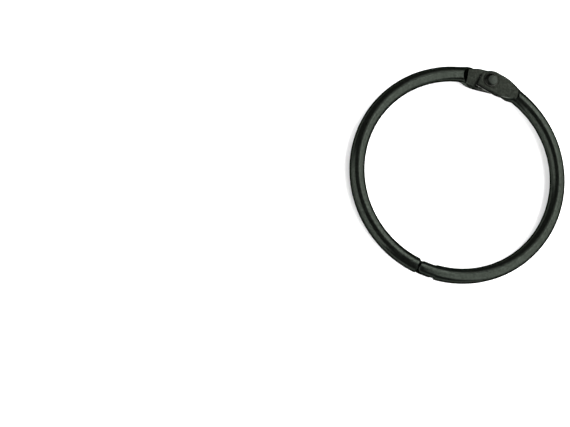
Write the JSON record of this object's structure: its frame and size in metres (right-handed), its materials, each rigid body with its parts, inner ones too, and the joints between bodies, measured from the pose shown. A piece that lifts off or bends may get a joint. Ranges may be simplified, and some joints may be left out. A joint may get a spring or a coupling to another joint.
{
  "type": "hinged binder ring",
  "caption": "Round wire ring that opens on a riveted hinge and closes with a lapped snap joint, to hold punched sheets, cards or keys together.",
  "frame": {"origin": "middle of the closed ring, halfway through the wire", "axes": "+Z square to the ring, towards the rivet's small peened end; +Y from the middle to the rivet; +X towards the half ring that opens"},
  "size_m": [0.058, 0.0586, 0.0056],
  "materials": {
    "black_plating": "semi-gloss black plating with a fine even grain",
    "rivet_plating": "semi-gloss black plating, a little brighter where the end is peened"
  },
  "bodies": {
    "lower_half": {"lower_half_ring": "black_plating", "hinge_rivet": "rivet_plating"},
    "upper_half": {"upper_half_ring": "black_plating"}
  },
  "joints": [
    {"name": "ring_hinge", "type": "hinge", "parent": "lower_half", "child": "upper_half", "pos_m": [0, 0.027, 0], "axis": [0, 0, 1], "range_deg": [0, 150]}
  ]
}
